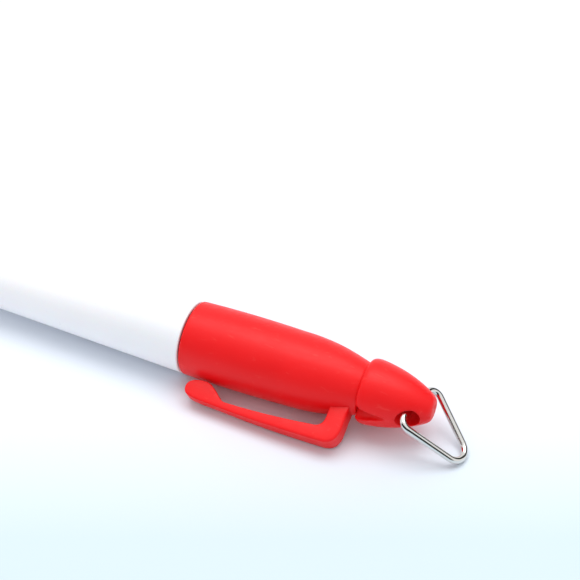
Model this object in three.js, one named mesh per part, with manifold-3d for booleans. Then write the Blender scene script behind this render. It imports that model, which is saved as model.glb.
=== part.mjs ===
// Mini permanent marker: a tapered barrel with its ink reservoir, a section that holds the bullet nib,
// and a pull-off cap with a pocket clip, a swivelling end collar and a triangular wire ring.
import * as THREE from "three";
import { mergeVertices } from "three/addons/utils/BufferGeometryUtils.js";
import Module from "manifold-3d";

// Sizes are in millimetres. X runs along the marker from the middle of the barrel's flat tail face
// towards the ring, Z is up, and the marker's axis is the X axis.

// Barrel
const BARREL_LENGTH = 54;
const BARREL_MOUTH_RADIUS = 6.5;
const BARREL_TAIL_RADIUS = 4.64;
const BARREL_WALL = 1.15;
const BARREL_FLOOR = 2.2;
const SOCKET_DEPTH = 12;
const TAIL_ROUNDING = 1.0;
const LIP_ROUNDING = 0.35;

// Section, measured from the barrel's mouth
const SECTION_RADIUS = 5.5;
const SECTION_BODY_LENGTH = 15.8;
const SECTION_WALL = 1.1;
const SHOULDER_LENGTH = 4.6;
const SHOULDER_HOLD = 1.9;
const SHOULDER_LEAD = 1.3;
const SHOULDER_SLOPE = 40;
const NOZZLE_RADIUS = 2.95;
const NOZZLE_LENGTH = 6;
const NOZZLE_ROUNDING = 0.5;
const PIP_RADIUS = 0.45;
const PIP_ANGLE = 52;
const PIP_PLACE = 0.4;

// Nib and ink reservoir
const NIB_RADIUS = 1.8;
const NIB_STRAIGHT_LENGTH = 3.5;
const NIB_TAPER_LENGTH = 3.3;
const NIB_SINK = 8;
const RESERVOIR_FRONT = 13;
const FILM_THICKNESS = 0.2;

// Cap shell, measured from the barrel's mouth
const CAP_LENGTH = 31.9;
const CAP_MOUTH_RADIUS = 6.55;
const CAP_BELLY_RADIUS = 6.7;
const CAP_TAPER_START = 19;
const CAP_TAPER_RADIUS = 6.52;
const CAP_TAPER_HOLD = 5.93;
const CAP_TAPER_LEAD = 3.87;
const CAP_END_RADIUS = 4.45;
const CAP_END_SLOPE = 16.7;
const NECK_RADIUS = 3.1;
const NECK_LENGTH = 5.3;
const BEAD_RADIUS = 3.6;
const BEAD_START = 2.7;
const BEAD_LENGTH = 1;
const NIB_ROOM = 0.3;
const NIB_END_ROOM = 0.6;

// Inner cap, the sleeve that seals round the nozzle
const INNER_CAP_LENGTH = 7.8;
const INNER_CAP_WALL = 0.8;
const INNER_CAP_LIP = 1.8;
const INNER_CAP_LIP_BORE = 2.3;

// Pocket clip. Its post stands back from the cap's end, its heights start at the cap's widest radius,
// and its tip is measured from the barrel's mouth.
const CLIP_ANGLE = 26;
const CLIP_POST_SETBACK = 0.45;
const CLIP_POST_DEPTH = 3.65;
const CLIP_POST_CORNER = 2.1;
const CLIP_ROOT_THICKNESS = 2.4;
const CLIP_ROOT_BEND = 1.8;
const CLIP_ROOT_WIDTH = 3.6;
const CLIP_BAR_HEIGHT = 4.4;
const CLIP_BAR_THICKNESS = 1.55;
const CLIP_BAR_BOW = 0.3;
const CLIP_PADDLE_TIP = 2.6;
const CLIP_PADDLE_LENGTH = 6.5;
const CLIP_PADDLE_GAP = 0.45;
const CLIP_PADDLE_HEIGHT = 3.6;
const CLIP_PADDLE_WIDTH = 2.6;
const CLIP_NECK_LENGTH = 1.1;
const CLIP_EDGE_INSET = 0.5;
const CLIP_EDGE_DEPTH = 0.8;

// Swivelling end collar
const COLLAR_LENGTH = 11.8;
const COLLAR_RIM_RADIUS = 5.62;
const COLLAR_RIM_EDGE = 0.75;
const COLLAR_RIM_CROWN = 1.2;
const COLLAR_OGIVE_HOLD = 3.8;
const COLLAR_OGIVE_DROP = 0.3;
const COLLAR_OGIVE_LEAD = 2.3;
const COLLAR_OGIVE_SLOPE = 34;
const COLLAR_TIP_RADIUS = 2.4;
const COLLAR_TIP_LENGTH = 0.65;
const COLLAR_END_RADIUS = 1.3;
const COLLAR_THROAT_LENGTH = 2.1;
const POCKET_CHAMFER = 0.6;
const RING_HOLE_RADIUS = 1.9;
const RING_HOLE_FROM_END = 3.4;
const NOTCH_LENGTH = 5.4;
const NOTCH_RADIUS = 1.4;
const NOTCH_INSET = 0.37;
const COLLAR_TURN = 3;

// Wire ring
const WIRE_RADIUS = 0.6;
const RING_BASE = 12.15;
const RING_HEIGHT = 16.1;
const RING_CORNER_BEND = 1.6;
const RING_APEX_BEND = 2.45;
const RING_JOINT_GAP = 0.3;
const RING_SWING = 34.1;
const RING_SKEW = -11.6;
const RING_DIP = -6.5;
const RING_PLAY_FORWARD = 0.3;
const RING_PLAY_UP = 0.37;

// Fits
const SEAM_GAP = 0.3;
const PRESS_GAP = 0.2;
const CAP_CLEARANCE = 0.25;
const SWIVEL_CLEARANCE = 0.3;
const NIB_CLEARANCE = 0.15;
const FILM_GAP = 0.1;

// Facets
const ROUND_SEGMENTS = 48;
const SMALL_SEGMENTS = 28;
const CURVE_STEPS = 5;
const WIRE_SIDES = 10;
const WIRE_STEPS = 72;

const wasm = await Module();
wasm.setup();

const radians = THREE.MathUtils.degToRad;

// A solid for cutting and joining, from a closed geometry.
function solidOf(geometry) {
  const bare = geometry.clone();
  bare.deleteAttribute("normal");
  bare.deleteAttribute("uv");
  const merged = mergeVertices(bare, 1e-4);
  return new wasm.Manifold(
    new wasm.Mesh({
      numProp: 3,
      vertProperties: merged.attributes.position.array,
      triVerts: new Uint32Array(merged.index.array),
    }),
  );
}

// A geometry for drawing, from a solid.
function geometryOf(solid) {
  const mesh = solid.getMesh();
  const geometry = new THREE.BufferGeometry();
  geometry.setAttribute("position", new THREE.BufferAttribute(new Float32Array(mesh.vertProperties), 3));
  geometry.setIndex(new THREE.BufferAttribute(new Uint32Array(mesh.triVerts), 1));
  geometry.computeVertexNormals();
  return geometry;
}

// Turns points of (radius, height) round the Y axis, in the order that faces outwards.
function turned(points, segments) {
  const ordered = THREE.ShapeUtils.area(points) > 0 ? points : [...points].reverse();
  return new THREE.LatheGeometry(ordered, segments);
}

// Turns a profile of (distance along the axis, radius) round the X axis.
function revolve(profile, segments = ROUND_SEGMENTS) {
  const points = profile.getPoints(CURVE_STEPS).map((p) => new THREE.Vector2(Math.max(p.y, 0), p.x));
  return turned(points, segments).rotateZ(-Math.PI / 2);
}

function plastic(name, geometry, colour, roughness) {
  const mesh = new THREE.Mesh(
    geometry,
    new THREE.MeshStandardMaterial({ color: colour, roughness, metalness: 0 }),
  );
  mesh.name = name;
  return mesh;
}

// The barrel's outer radius at a distance from its tail.
function barrelRadius(x) {
  return THREE.MathUtils.lerp(BARREL_TAIL_RADIUS, BARREL_MOUTH_RADIUS, x / BARREL_LENGTH);
}

// A moulded tube with a closed flat tail, a tapered chamber and a wider socket at its mouth.
function barrelGeometry() {
  const socketFloor = BARREL_LENGTH - SOCKET_DEPTH;
  const socketRadius = SECTION_RADIUS + PRESS_GAP;
  const profile = new THREE.Path();
  profile.moveTo(BARREL_FLOOR, 0);
  profile.lineTo(BARREL_FLOOR, chamberRadius(BARREL_FLOOR));
  profile.lineTo(socketFloor, chamberRadius(socketFloor));
  profile.lineTo(socketFloor, socketRadius);
  profile.lineTo(BARREL_LENGTH, socketRadius);
  profile.lineTo(BARREL_LENGTH, BARREL_MOUTH_RADIUS - LIP_ROUNDING);
  profile.quadraticCurveTo(
    BARREL_LENGTH,
    BARREL_MOUTH_RADIUS,
    BARREL_LENGTH - LIP_ROUNDING,
    barrelRadius(BARREL_LENGTH - LIP_ROUNDING),
  );
  profile.lineTo(TAIL_ROUNDING, barrelRadius(TAIL_ROUNDING));
  profile.quadraticCurveTo(0, BARREL_TAIL_RADIUS, 0, BARREL_TAIL_RADIUS - TAIL_ROUNDING);
  profile.lineTo(0, 0);
  return revolve(profile);
}

function chamberRadius(x) {
  return barrelRadius(x) - BARREL_WALL;
}

// The fibre core and its film share the chamber, which is narrowest at the barrel's floor.
const reservoirRear = BARREL_FLOOR + SEAM_GAP;
const reservoirFront = BARREL_LENGTH + RESERVOIR_FRONT;
const filmRadius = chamberRadius(BARREL_FLOOR) - PRESS_GAP;
const coreRadius = filmRadius - FILM_THICKNESS - FILM_GAP;
const nibRear = reservoirFront - NIB_SINK;

function reservoirCoreGeometry() {
  const boreRadius = NIB_RADIUS + NIB_CLEARANCE;
  const profile = new THREE.Path();
  profile.moveTo(nibRear - SEAM_GAP, 0);
  profile.lineTo(nibRear - SEAM_GAP, boreRadius);
  profile.lineTo(reservoirFront, boreRadius);
  profile.lineTo(reservoirFront, coreRadius);
  profile.lineTo(reservoirRear, coreRadius);
  profile.lineTo(reservoirRear, 0);
  return revolve(profile, SMALL_SEGMENTS);
}

function reservoirFilmGeometry() {
  const innerRadius = coreRadius + FILM_GAP;
  const profile = new THREE.Path();
  profile.moveTo(reservoirRear, innerRadius);
  profile.lineTo(reservoirFront, innerRadius);
  profile.lineTo(reservoirFront, filmRadius);
  profile.lineTo(reservoirRear, filmRadius);
  profile.lineTo(reservoirRear, innerRadius);
  return revolve(profile, SMALL_SEGMENTS);
}

// Section: a plug pressed into the barrel, a straight body, a domed shoulder and the nozzle.
const shoulderStart = SECTION_BODY_LENGTH;
const nozzleStart = SECTION_BODY_LENGTH + SHOULDER_LENGTH;
const nozzleEnd = nozzleStart + NOZZLE_LENGTH;

// The shoulder's profile: level where it leaves the body, then down to the nozzle at its own slope.
function shoulderCurve() {
  const rise = SHOULDER_LEAD * Math.tan(radians(SHOULDER_SLOPE));
  return new THREE.CubicBezierCurve(
    new THREE.Vector2(nozzleStart, NOZZLE_RADIUS),
    new THREE.Vector2(nozzleStart - SHOULDER_LEAD, NOZZLE_RADIUS + rise),
    new THREE.Vector2(shoulderStart + SHOULDER_HOLD, SECTION_RADIUS),
    new THREE.Vector2(shoulderStart, SECTION_RADIUS),
  );
}

function sectionGeometry() {
  const shoulder = shoulderCurve();
  const boreRadius = NIB_RADIUS + NIB_CLEARANCE;
  const hollowRadius = SECTION_RADIUS - SECTION_WALL;
  const plugEnd = SEAM_GAP - SOCKET_DEPTH;
  const profile = new THREE.Path();
  profile.moveTo(plugEnd, hollowRadius);
  profile.lineTo(shoulderStart, hollowRadius);
  profile.lineTo(nozzleStart, boreRadius);
  profile.lineTo(nozzleEnd, boreRadius);
  profile.lineTo(nozzleEnd, NOZZLE_RADIUS - NOZZLE_ROUNDING);
  profile.quadraticCurveTo(nozzleEnd, NOZZLE_RADIUS, nozzleEnd - NOZZLE_ROUNDING, NOZZLE_RADIUS);
  profile.lineTo(nozzleStart, NOZZLE_RADIUS);
  profile.curves.push(shoulder);
  profile.currentPoint.copy(shoulder.v3);
  profile.lineTo(plugEnd + LIP_ROUNDING, SECTION_RADIUS);
  profile.lineTo(plugEnd, SECTION_RADIUS - LIP_ROUNDING);
  profile.lineTo(plugEnd, hollowRadius);
  return geometryOf(solidOf(revolve(profile)).add(gatePip(shoulder)));
}

// The small nub that the moulding gate leaves on the shoulder.
function gatePip(shoulder) {
  const seat = shoulder.getPoint(PIP_PLACE);
  const angle = radians(PIP_ANGLE);
  const pip = new THREE.SphereGeometry(PIP_RADIUS, 10, 8);
  pip.translate(seat.x, -seat.y * Math.cos(angle), seat.y * Math.sin(angle));
  return solidOf(pip);
}

// A pressed fibre rod with a bullet point.
function nibGeometry() {
  const rear = nibRear - BARREL_LENGTH;
  const taperStart = nozzleEnd + NIB_STRAIGHT_LENGTH;
  const tip = taperStart + NIB_TAPER_LENGTH;
  const profile = new THREE.Path();
  profile.moveTo(tip, 0);
  profile.bezierCurveTo(tip, NIB_RADIUS / 2, (taperStart + tip) / 2, NIB_RADIUS, taperStart, NIB_RADIUS);
  profile.lineTo(rear, NIB_RADIUS);
  profile.lineTo(rear, 0);
  return revolve(profile, SMALL_SEGMENTS);
}

const nibTip = nozzleEnd + NIB_STRAIGHT_LENGTH + NIB_TAPER_LENGTH;

// The outside of the cap from the end that carries the collar to the mouth: a taper, then a slight
// belly. A clearance moves it outwards, for what has to stay clear of the cap.
function capOutside(profile, clearance) {
  const mouth = SEAM_GAP + LIP_ROUNDING;
  const rise = CAP_TAPER_LEAD * Math.tan(radians(CAP_END_SLOPE));
  profile.bezierCurveTo(
    CAP_LENGTH - CAP_TAPER_LEAD,
    CAP_END_RADIUS + rise + clearance,
    CAP_TAPER_START + CAP_TAPER_HOLD,
    CAP_TAPER_RADIUS + clearance,
    CAP_TAPER_START,
    CAP_TAPER_RADIUS + clearance,
  );
  profile.quadraticCurveTo(
    (mouth + CAP_TAPER_START) / 2,
    2 * CAP_BELLY_RADIUS - (CAP_MOUTH_RADIUS + CAP_TAPER_RADIUS) / 2 + clearance,
    mouth,
    CAP_MOUTH_RADIUS + clearance,
  );
}

const sealRadius = NOZZLE_RADIUS + PRESS_GAP;
const seatRadius = sealRadius + INNER_CAP_WALL + PRESS_GAP;
const seatStart = nozzleStart;
const innerCapRear = nozzleStart + CAP_CLEARANCE + SEAM_GAP;
const innerCapFront = innerCapRear + INNER_CAP_LENGTH;

// Cap shell: a bore that slides over the section, a seat for the inner cap, room for the nib's point,
// and a neck with a snap bead outside.
function capShellGeometry() {
  const boreRadius = SECTION_RADIUS + CAP_CLEARANCE;
  const seatEnd = innerCapFront + SEAM_GAP;
  const pointRadius = NIB_RADIUS + NIB_ROOM;
  const pointEnd = nibTip + NIB_END_ROOM;
  const neckEnd = CAP_LENGTH + NECK_LENGTH;
  const beadStart = CAP_LENGTH + BEAD_START;
  const beadEnd = beadStart + BEAD_LENGTH;
  const profile = new THREE.Path();
  profile.moveTo(pointEnd, 0);
  profile.quadraticCurveTo(pointEnd, pointRadius, pointEnd - pointRadius, pointRadius);
  profile.lineTo(seatEnd, pointRadius);
  profile.lineTo(seatEnd, seatRadius);
  profile.lineTo(seatStart, seatRadius);
  profile.lineTo((shoulderStart + nozzleStart) / 2, boreRadius);
  profile.lineTo(SEAM_GAP, boreRadius);
  profile.lineTo(SEAM_GAP, CAP_MOUTH_RADIUS - LIP_ROUNDING);
  const outside = new THREE.Path();
  outside.moveTo(CAP_LENGTH, CAP_END_RADIUS);
  capOutside(outside, 0);
  const mouthToEnd = outside.getPoints(CURVE_STEPS + 2).reverse();
  mouthToEnd.forEach((p) => profile.lineTo(p.x, p.y));
  profile.lineTo(CAP_LENGTH, NECK_RADIUS);
  profile.lineTo(beadStart, NECK_RADIUS);
  profile.lineTo(beadStart, BEAD_RADIUS);
  profile.lineTo(beadEnd, BEAD_RADIUS);
  profile.lineTo(neckEnd, NECK_RADIUS - LIP_ROUNDING);
  profile.lineTo(neckEnd, 0);
  return revolve(profile);
}

function innerCapGeometry() {
  const outer = seatRadius - PRESS_GAP;
  const lipStart = innerCapFront - INNER_CAP_LIP;
  const profile = new THREE.Path();
  profile.moveTo(innerCapRear, sealRadius + LIP_ROUNDING);
  profile.lineTo(innerCapRear + LIP_ROUNDING, sealRadius);
  profile.lineTo(lipStart, sealRadius);
  profile.lineTo(lipStart, INNER_CAP_LIP_BORE);
  profile.lineTo(innerCapFront, INNER_CAP_LIP_BORE);
  profile.lineTo(innerCapFront, outer - LIP_ROUNDING);
  profile.lineTo(innerCapFront - LIP_ROUNDING, outer);
  profile.lineTo(innerCapRear, outer);
  profile.lineTo(innerCapRear, sealRadius + LIP_ROUNDING);
  return revolve(profile, SMALL_SEGMENTS);
}

// The clip's side view: post, bowed bar and rounded paddle. x runs along the marker, y out from it.
const clipPostFront = CAP_LENGTH - CLIP_POST_SETBACK;
const clipPaddleMiddle = CLIP_PADDLE_TIP + CLIP_PADDLE_LENGTH / 2;

function clipOutline() {
  const postRear = clipPostFront - CLIP_POST_DEPTH;
  const barOuter = CAP_BELLY_RADIUS + CLIP_BAR_HEIGHT;
  const barInner = barOuter - CLIP_BAR_THICKNESS;
  const rootInner = barOuter - CLIP_ROOT_THICKNESS;
  const paddleInner = CAP_BELLY_RADIUS + CLIP_PADDLE_GAP;
  const paddleOuter = paddleInner + CLIP_PADDLE_HEIGHT;
  const paddleRounding = CLIP_PADDLE_LENGTH / 4;
  const paddleEnd = CLIP_PADDLE_TIP + CLIP_PADDLE_LENGTH;
  const barMiddle = (postRear + paddleEnd) / 2;
  const outline = new THREE.Shape();
  outline.moveTo(clipPostFront, 0);
  outline.lineTo(clipPostFront, barOuter - CLIP_POST_CORNER);
  outline.quadraticCurveTo(clipPostFront, barOuter, clipPostFront - CLIP_POST_CORNER, barOuter);
  outline.quadraticCurveTo(barMiddle, barOuter + CLIP_BAR_BOW, paddleEnd, (barOuter + paddleOuter) / 2);
  outline.bezierCurveTo(
    CLIP_PADDLE_TIP + paddleRounding,
    paddleOuter,
    CLIP_PADDLE_TIP,
    paddleOuter,
    CLIP_PADDLE_TIP,
    (paddleOuter + paddleInner) / 2,
  );
  outline.quadraticCurveTo(CLIP_PADDLE_TIP, paddleInner, clipPaddleMiddle, paddleInner);
  outline.bezierCurveTo(
    clipPaddleMiddle + paddleRounding,
    paddleInner,
    paddleEnd,
    barInner,
    paddleEnd + CLIP_NECK_LENGTH,
    barInner,
  );
  outline.quadraticCurveTo(barMiddle, barInner, postRear - CLIP_ROOT_BEND, rootInner);
  outline.quadraticCurveTo(postRear, rootInner, postRear, rootInner - CLIP_ROOT_BEND);
  outline.lineTo(postRear, 0);
  return outline;
}

// The outline thickened to the clip's width, which narrows from the post to the paddle, with the foot
// cut to the cap's own surface.
function clipGeometry() {
  const halfDepth = CLIP_ROOT_WIDTH / 2 - CLIP_EDGE_DEPTH;
  const clip = new THREE.ExtrudeGeometry(clipOutline(), {
    depth: halfDepth * 2,
    curveSegments: CURVE_STEPS,
    bevelEnabled: true,
    bevelThickness: CLIP_EDGE_DEPTH,
    bevelSize: CLIP_EDGE_INSET,
    bevelOffset: -CLIP_EDGE_INSET,
    bevelSegments: 2,
  });
  clip.translate(0, 0, -halfDepth);
  const positions = clip.attributes.position;
  for (let i = 0; i < positions.count; i += 1) {
    const along = THREE.MathUtils.smoothstep(positions.getX(i), clipPaddleMiddle, clipPostFront);
    const width = THREE.MathUtils.lerp(CLIP_PADDLE_WIDTH, CLIP_ROOT_WIDTH, along);
    positions.setZ(i, (positions.getZ(i) * width) / CLIP_ROOT_WIDTH);
  }
  const room = new THREE.Path();
  room.moveTo(CAP_LENGTH, 0);
  room.lineTo(CAP_LENGTH, CAP_END_RADIUS + SEAM_GAP);
  capOutside(room, SEAM_GAP);
  room.lineTo(0, CAP_MOUTH_RADIUS + SEAM_GAP);
  room.lineTo(0, 0);
  return geometryOf(solidOf(clip).subtract(solidOf(revolve(room))));
}

// End collar, measured from its own rear face: a rim, an ogive that narrows to a flat end, a bore that
// snaps over the neck's bead, a cross hole for the ring and a pointed relief notch on each side.
const collarRear = CAP_LENGTH + SEAM_GAP;
const ringHoleX = COLLAR_LENGTH - RING_HOLE_FROM_END;

function collarGeometry() {
  const throatRadius = NECK_RADIUS + SWIVEL_CLEARANCE;
  const pocketRadius = BEAD_RADIUS + SWIVEL_CLEARANCE;
  const pocketEnd = NECK_LENGTH - SEAM_GAP + SWIVEL_CLEARANCE;
  const ogiveEnd = COLLAR_LENGTH - COLLAR_TIP_LENGTH;
  const ogiveSlope = Math.tan(radians(COLLAR_OGIVE_SLOPE));
  const profile = new THREE.Path();
  profile.moveTo(pocketEnd, 0);
  profile.lineTo(pocketEnd, NECK_RADIUS);
  profile.lineTo(pocketEnd - POCKET_CHAMFER, pocketRadius);
  profile.lineTo(COLLAR_THROAT_LENGTH, pocketRadius);
  profile.lineTo(COLLAR_THROAT_LENGTH, throatRadius);
  profile.lineTo(0, throatRadius);
  profile.lineTo(0, COLLAR_RIM_RADIUS - COLLAR_RIM_EDGE);
  profile.quadraticCurveTo(0, COLLAR_RIM_RADIUS, COLLAR_RIM_CROWN, COLLAR_RIM_RADIUS);
  profile.bezierCurveTo(
    COLLAR_RIM_CROWN + COLLAR_OGIVE_HOLD,
    COLLAR_RIM_RADIUS - COLLAR_OGIVE_DROP,
    ogiveEnd - COLLAR_OGIVE_LEAD,
    COLLAR_TIP_RADIUS + COLLAR_OGIVE_LEAD * ogiveSlope,
    ogiveEnd,
    COLLAR_TIP_RADIUS,
  );
  profile.quadraticCurveTo(
    COLLAR_LENGTH,
    COLLAR_TIP_RADIUS - COLLAR_TIP_LENGTH * ogiveSlope,
    COLLAR_LENGTH,
    COLLAR_END_RADIUS,
  );
  profile.lineTo(COLLAR_LENGTH, 0);
  const body = solidOf(revolve(profile));
  return geometryOf(body.subtract(ringHole()).subtract(reliefNotch(1)).subtract(reliefNotch(-1)));
}

// The cross hole along Y.
function ringHole() {
  const hole = new THREE.CylinderGeometry(
    RING_HOLE_RADIUS,
    RING_HOLE_RADIUS,
    COLLAR_RIM_RADIUS * 2,
    SMALL_SEGMENTS,
  );
  return solidOf(hole.translate(ringHoleX, 0, 0));
}

// A cone sunk into the rim at one side of the collar, with its point towards the cross hole.
function reliefNotch(side) {
  const profile = [
    new THREE.Vector2(0, -SEAM_GAP),
    new THREE.Vector2(NOTCH_RADIUS * (1 + SEAM_GAP / NOTCH_LENGTH), -SEAM_GAP),
    new THREE.Vector2(0, NOTCH_LENGTH),
  ];
  const cone = turned(profile, SMALL_SEGMENTS).rotateZ(-Math.PI / 2);
  return solidOf(cone.translate(0, side * (COLLAR_RIM_RADIUS - NOTCH_INSET), 0));
}

// A flat path of straight runs and bends, as a curve in space for the wire to follow.
class FlatCurve extends THREE.Curve {
  constructor(path) {
    super();
    this.path = path;
  }

  getPoint(t, target = new THREE.Vector3()) {
    const p = this.path.getPoint(t);
    return target.set(p.x, p.y, 0);
  }
}

// Adds a bend of a given radius at a corner between two straight runs.
function bendAt(path, from, corner, to, radius) {
  const toFrom = from.clone().sub(corner).normalize();
  const toNext = to.clone().sub(corner).normalize();
  const half = Math.acos(toFrom.dot(toNext)) / 2;
  const middle = toFrom.clone().add(toNext).normalize();
  const centre = corner.clone().addScaledVector(middle, radius / Math.sin(half));
  const start = corner.clone().addScaledVector(toFrom, radius / Math.tan(half));
  const end = corner.clone().addScaledVector(toNext, radius / Math.tan(half));
  path.lineTo(start.x, start.y);
  const startAngle = start.clone().sub(centre).angle();
  const endAngle = end.clone().sub(centre).angle();
  path.absarc(centre.x, centre.y, radius, startAngle, endAngle, true);
}

// The ring as one length of wire whose ends meet in the middle of the base. The base lies along the
// local Y axis and the apex points along local X.
function ringGeometry() {
  const left = new THREE.Vector2(0, RING_BASE / 2);
  const right = new THREE.Vector2(0, -RING_BASE / 2);
  const apex = new THREE.Vector2(RING_HEIGHT, 0);
  const path = new THREE.Path();
  path.moveTo(0, RING_JOINT_GAP / 2);
  bendAt(path, right, left, apex, RING_CORNER_BEND);
  bendAt(path, left, apex, right, RING_APEX_BEND);
  bendAt(path, apex, right, left, RING_CORNER_BEND);
  path.lineTo(0, -RING_JOINT_GAP / 2);
  const wire = new THREE.Shape().absarc(0, 0, WIRE_RADIUS, 0, Math.PI * 2);
  return new THREE.ExtrudeGeometry(new THREE.Shape(wire.getPoints(WIRE_SIDES / 2)), {
    steps: WIRE_STEPS,
    extrudePath: new FlatCurve(path),
  });
}

// Assembly
const WHITE = 0xf2f3f6;
const RED = 0xe52020;
const DEEP_RED = 0xd0121a;

const marker = new THREE.Group();
marker.add(
  plastic("barrel", barrelGeometry(), WHITE, 0.32),
  plastic("reservoir_core", reservoirCoreGeometry(), 0x8a1018, 0.95),
  plastic("reservoir_film", reservoirFilmGeometry(), 0xf7f4ee, 0.3),
);

const front = new THREE.Group();
front.position.x = BARREL_LENGTH;
front.add(
  plastic("section", sectionGeometry(), DEEP_RED, 0.2),
  plastic("nib", nibGeometry(), 0x3a0a10, 0.9),
);
marker.add(front);

const cap = new THREE.Group();
cap.position.x = BARREL_LENGTH;
cap.add(
  plastic("cap_shell", capShellGeometry(), RED, 0.42),
  plastic("inner_cap", innerCapGeometry(), 0xf0ece4, 0.4),
);
const clip = plastic("pocket_clip", clipGeometry(), RED, 0.42);
clip.rotation.x = Math.PI + radians(CLIP_ANGLE);
cap.add(clip);

const collar = plastic("ring_collar", collarGeometry(), RED, 0.42);
collar.position.x = collarRear;
collar.rotation.x = radians(COLLAR_TURN);
cap.add(collar);

const ring = new THREE.Mesh(
  ringGeometry(),
  new THREE.MeshStandardMaterial({ color: 0xc9cacb, roughness: 0.22, metalness: 1 }),
);
ring.name = "wire_ring";
ring.position.set(collarRear + ringHoleX + RING_PLAY_FORWARD, 0, RING_PLAY_UP);
ring.rotation.set(radians(RING_DIP), radians(RING_SWING), radians(RING_SKEW), "ZXY");
cap.add(ring);
marker.add(cap);

export default marker;
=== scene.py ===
# %% [markdown]
# # A mini permanent marker with a clip and a key ring
# The object is a pocket marker, 98 mm long with its cap on. A white barrel holds the ink, a red
# section holds the nib, and the red cap carries a moulded clip, a collar that turns and a ring of
# bent wire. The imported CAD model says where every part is, so each piece below is made in the
# same place with softer edges and a real finish, and then rides on the same body.

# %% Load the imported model
import math

import bmesh
import bpy
from mathutils import Matrix, Vector
from mathutils.geometry import interpolate_bezier


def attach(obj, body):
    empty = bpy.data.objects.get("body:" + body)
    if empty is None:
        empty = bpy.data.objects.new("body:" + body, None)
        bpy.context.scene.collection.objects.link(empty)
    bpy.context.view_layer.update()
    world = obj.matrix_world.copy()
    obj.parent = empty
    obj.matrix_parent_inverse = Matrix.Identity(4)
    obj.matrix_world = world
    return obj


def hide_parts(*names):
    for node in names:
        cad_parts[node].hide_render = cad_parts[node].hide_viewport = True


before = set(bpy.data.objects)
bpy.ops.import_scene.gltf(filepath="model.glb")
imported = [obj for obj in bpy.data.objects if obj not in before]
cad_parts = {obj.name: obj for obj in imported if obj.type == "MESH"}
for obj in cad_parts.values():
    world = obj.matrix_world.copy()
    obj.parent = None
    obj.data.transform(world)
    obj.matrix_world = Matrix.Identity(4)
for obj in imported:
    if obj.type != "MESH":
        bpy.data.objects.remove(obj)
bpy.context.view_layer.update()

# %% [markdown]
# ## The camera
# The camera stands where the photographer's did: on the clip's side, above the marker and a
# little beyond its ring, looking back along it. Its place and its long lens were worked out from
# the outlines in the photograph.

# %% Camera
CAMERA_PLACE = (0.13515, -0.14476, 0.15428)
CAMERA_LOOKS = (-0.3007, 0.6925, -0.6558)
SENSOR_WIDTH = 36
FOCAL_IN_PIXELS = 1300
IMAGE_WIDTH = 580

camera_data = bpy.data.cameras.new("camera")
camera_data.sensor_width = SENSOR_WIDTH
camera_data.lens = SENSOR_WIDTH * FOCAL_IN_PIXELS / IMAGE_WIDTH
camera_data.clip_start = 0.01
camera = bpy.data.objects.new("camera", camera_data)
camera.location = CAMERA_PLACE
camera.rotation_euler = Vector(CAMERA_LOOKS).to_track_quat("-Z", "Y").to_euler()
bpy.context.scene.collection.objects.link(camera)
bpy.context.scene.camera = camera
print("lens in mm:", round(camera_data.lens, 2))

# %% [markdown]
# ## Small tools
# A marker is drawn in millimetres, so each of its meshes is made in millimetres and scaled down
# once at the end. Most pieces of a marker are round, and a round piece is a half section turned
# about the long axis. The half section is a line of corners, each with its own rounding, which a
# vertex bevel makes. Where the outline is curved, a smooth bend takes the place of corners, and
# its two handles are written out between its ends.

# %% Turning a half section
MM = 0.001
ROUND_STEPS = 96
ROUNDING_STEPS = 4
MERGE_DISTANCE = 1e-4


def turned(corners, steps=ROUND_STEPS):
    """Turns corners of (distance along the marker, radius, rounding) about the X axis."""
    bm = bmesh.new()
    verts = [bm.verts.new((x, 0, radius)) for x, radius, _ in corners]
    for a, b in zip(verts, verts[1:]):
        bm.edges.new((a, b))
    for vert, (_, _, rounding) in zip(verts, corners):
        if rounding:
            bmesh.ops.bevel(
                bm, geom=[vert], offset=rounding, offset_type="OFFSET", segments=ROUNDING_STEPS,
                profile=0.5, affect="VERTICES", material=-1,
            )
    bmesh.ops.spin(
        bm, geom=bm.verts[:] + bm.edges[:], cent=(0, 0, 0), axis=(1, 0, 0),
        angle=math.tau, steps=steps, use_merge=True,
    )
    bmesh.ops.remove_doubles(bm, verts=bm.verts, dist=MERGE_DISTANCE)
    bmesh.ops.recalc_face_normals(bm, faces=bm.faces)
    return bm


def bend_line(start, handle, other_handle, end, steps):
    """Points along one smooth bend, without the last, as corners that need no rounding."""
    controls = [Vector((*point, 0)) for point in (start, handle, other_handle, end)]
    return [(p.x, p.y, 0) for p in interpolate_bezier(*controls, steps + 1)[:-1]]


# %% Keeping a finished mesh as a piece
SHARP_ANGLE = math.radians(38)


def as_object(bm, name):
    """Scales a bmesh in millimetres to metres and puts it in the scene."""
    bmesh.ops.scale(bm, vec=(MM, MM, MM), verts=bm.verts)
    mesh = bpy.data.meshes.new(name)
    bm.to_mesh(mesh)
    bm.free()
    mesh.shade_smooth()
    made = bpy.data.objects.new(name, mesh)
    bpy.context.scene.collection.objects.link(made)
    return made


def keep(piece, body, node, material):
    """Lets a piece ride on its body in place of its CAD node, and gives it its finish."""
    piece.data.materials.clear()
    piece.data.materials.append(material)
    piece.data.set_sharp_from_angle(angle=SHARP_ANGLE)
    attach(piece, body)
    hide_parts(node)
    triangles = sum(len(face.vertices) - 2 for face in piece.data.polygons)
    size = [round(d / MM, 2) for d in piece.dimensions]
    print(f"{piece.name}: {triangles} triangles, {size} mm")
    return piece


# %% [markdown]
# ## Finishes
# Every finish is worked out by nodes from the piece's own coordinates, so it stays on the piece
# when the piece moves. Colours are written as sRGB hex values, as a colour picker gives them, and
# one function turns them into the linear values that a shader wants.

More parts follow.
